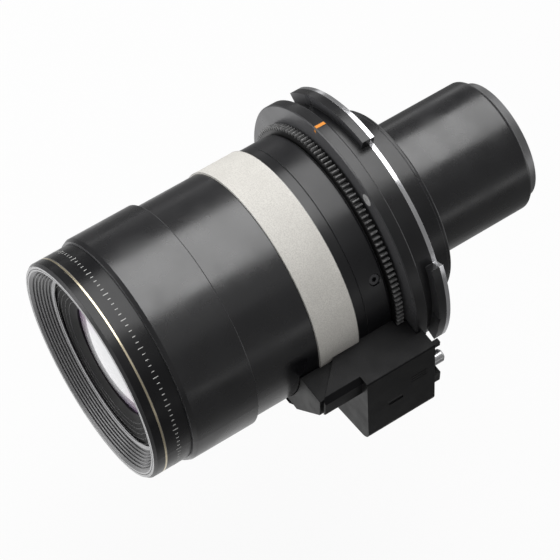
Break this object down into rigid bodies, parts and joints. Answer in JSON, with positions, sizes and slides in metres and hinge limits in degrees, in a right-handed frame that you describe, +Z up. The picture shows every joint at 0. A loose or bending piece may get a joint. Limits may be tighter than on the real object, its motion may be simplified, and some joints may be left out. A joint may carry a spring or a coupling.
{
  "type": "projection lens",
  "caption": "Motorised zoom lens for a projector: stepped black barrel, pale band, toothed zoom ring, round flange, bayonet and side drive block.",
  "frame": {"origin": "centre of the rear seat face of the mounting flange, on the optical axis", "axes": "+Y along the optical axis towards the projector, -Y out of the front glass, +Z up, +X towards the side with the drive block"},
  "size_m": [0.1473, 0.23, 0.1347],
  "materials": {
    "anodised_black": "black anodised, semi-gloss",
    "speckled_band": "light warm grey, fine speckle, matte",
    "cover_plastic": "black, fine grain",
    "bright_steel": "bright",
    "bright_plate": "turned and plated",
    "motor_can": "plain",
    "brass": "plain",
    "gold_trim": "anodised gold",
    "mark_paint": "orange paint",
    "grey_rim": "plain satin",
    "board": "green board",
    "front_glass": "coated, faint lilac",
    "inner_glass": "coated"
  },
  "bodies": {
    "housing": {"main_barrel": "anodised_black", "casing": "anodised_black", "barrel_screws": "bright_steel", "grey_band": "speckled_band", "set_screw": "bright_steel", "mount_flange": "anodised_black", "index_mark": "mark_paint", "flange_screws": "bright_steel", "bayonet_ring": "anodised_black", "bayonet_plate": "bright_plate", "bayonet_screws": "bright_steel", "guide_tube": "anodised_black", "rear_collar": "anodised_black", "rear_tube": "anodised_black", "rear_lens_1": "inner_glass", "rear_lens_2": "inner_glass", "rear_lens_3": "inner_glass", "rear_spacers": "anodised_black", "rear_rim": "grey_rim", "motor_base": "cover_plastic", "base_screws": "bright_steel", "motor_cover": "cover_plastic", "cover_screws": "bright_steel", "focus_motor": "motor_can", "zoom_motor": "motor_can", "circuit_board": "board", "connector_body": "cover_plastic", "contact_pins": "brass", "guide_pin": "bright_steel"},
    "focus_ring": {"focus_ring": "anodised_black"},
    "front_group": {"front_barrel": "anodised_black", "lens_sleeve": "anodised_black", "name_ring": "anodised_black", "trim_ring": "gold_trim", "front_ring": "anodised_black", "baffle_ring": "anodised_black", "front_lens_1": "front_glass", "front_lens_2": "inner_glass", "front_lens_3": "inner_glass", "front_spacer": "anodised_black", "front_retainer": "anodised_black", "focus_followers": "brass"},
    "zoom_ring": {"zoom_gear": "anodised_black", "drive_pins": "bright_steel", "cam_barrel": "anodised_black"},
    "variator_group": {"variator_cell": "anodised_black", "variator_lens_1": "inner_glass", "variator_lens_2": "inner_glass", "variator_retainer": "anodised_black", "variator_followers": "brass"},
    "compensator_group": {"compensator_cell": "anodised_black", "compensator_lens": "inner_glass", "compensator_retainer": "anodised_black", "compensator_followers": "brass"},
    "focus_pinion_shaft": {"focus_shaft": "bright_steel", "focus_pinion": "brass"},
    "zoom_pinion_shaft": {"zoom_shaft": "bright_steel", "zoom_pinion": "brass"}
  },
  "joints": [
    {"name": "focus_ring_turn", "type": "hinge", "parent": "housing", "child": "focus_ring", "pos_m": [0, 0, 0], "axis": [0, 1, 0], "range_deg": [0, 90]},
    {"name": "front_slide", "type": "slide", "parent": "housing", "child": "front_group", "axis": [0, -1, 0], "range_m": [0, 0.005]},
    {"name": "focus_pinion_spin", "type": "hinge", "parent": "housing", "child": "focus_pinion_shaft", "pos_m": [0.06212, -0.0352, -0.0132], "axis": [0, 1, 0], "range_deg": [-508, 0]},
    {"name": "zoom_ring_turn", "type": "hinge", "parent": "housing", "child": "zoom_ring", "pos_m": [0, 0, 0], "axis": [0, 1, 0], "range_deg": [0, 75]},
    {"name": "variator_slide", "type": "slide", "parent": "housing", "child": "variator_group", "axis": [0, 1, 0], "range_m": [0, 0.016]},
    {"name": "compensator_slide", "type": "slide", "parent": "housing", "child": "compensator_group", "axis": [0, 1, 0], "range_m": [0, 0.008]},
    {"name": "zoom_pinion_spin", "type": "hinge", "parent": "housing", "child": "zoom_pinion_shaft", "pos_m": [0.05441, -0.0091, -0.0367], "axis": [0, 1, 0], "range_deg": [-551, 0]}
  ],
  "couplings": [
    {"joint": "front_slide", "follows": "focus_ring_turn", "m_per_rad": 0.0031831},
    {"joint": "focus_pinion_spin", "follows": "focus_ring_turn", "ratio": -5.6364},
    {"joint": "variator_slide", "follows": "zoom_ring_turn", "m_per_rad": 0.012223},
    {"joint": "compensator_slide", "follows": "zoom_ring_turn", "m_per_rad": 0.0061115},
    {"joint": "zoom_pinion_spin", "follows": "zoom_ring_turn", "ratio": -7.3333}
  ]
}
